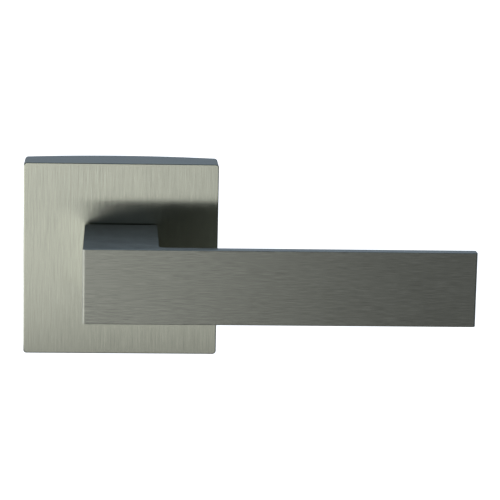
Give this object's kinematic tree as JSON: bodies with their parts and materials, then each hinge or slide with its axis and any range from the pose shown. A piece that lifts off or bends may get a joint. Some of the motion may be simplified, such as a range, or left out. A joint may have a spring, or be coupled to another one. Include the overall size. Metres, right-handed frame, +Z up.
{
  "type": "lever handle lockset",
  "caption": "Straight L-shaped lever on a square rose for a passage door, with a sprung cam that centres it, a square spindle and through-bolt fixings.",
  "frame": {"origin": "where the spindle's axis crosses the face of the door, in the plane of the rose's back", "axes": "+X along the lever to its tip, +Y into the door along the spindle, +Z up"},
  "size_m": [0.1463, 0.1295, 0.0662],
  "materials": {
    "satin_nickel": "brushed satin nickel, the rose brushed up and down and the lever along its length",
    "zinc_casting": "as cast zinc alloy",
    "plated_steel": "bright zinc plate",
    "spring_steel": "oiled spring steel",
    "nylon": "natural nylon",
    "black_plastic": "moulded black plastic"
  },
  "bodies": {
    "rose": {"rose_cover": "satin_nickel", "mounting_plate": "zinc_casting", "bearing_bush": "nylon", "spring_cover_plate": "plated_steel", "return_spring_left": "spring_steel", "return_spring_right": "spring_steel", "bore_ring": "black_plastic", "rose_set_screw": "plated_steel", "cover_plate_screw_1": "plated_steel", "cover_plate_screw_2": "plated_steel", "cover_plate_screw_3": "plated_steel", "cover_plate_screw_4": "plated_steel", "through_post_left": "plated_steel", "through_post_right": "plated_steel", "post_washer_left": "plated_steel", "post_washer_right": "plated_steel", "machine_screw_left": "plated_steel", "machine_screw_right": "plated_steel", "wood_screw_upper": "plated_steel", "wood_screw_lower": "plated_steel"},
    "lever": {"lever": "satin_nickel", "lever_set_screw": "plated_steel", "spindle": "plated_steel", "driver_cam": "zinc_casting", "thrust_washer": "plated_steel", "wave_washer": "spring_steel", "retaining_ring": "spring_steel"}
  },
  "joints": [
    {"name": "lever_turn", "type": "hinge", "parent": "rose", "child": "lever", "pos_m": [0, 0, 0], "axis": [0, 1, 0], "range_deg": [-45, 45], "stiffness_Nm_per_rad": 2, "springref_deg": -1.43, "deforming": ["return_spring_left", "return_spring_right"]}
  ]
}
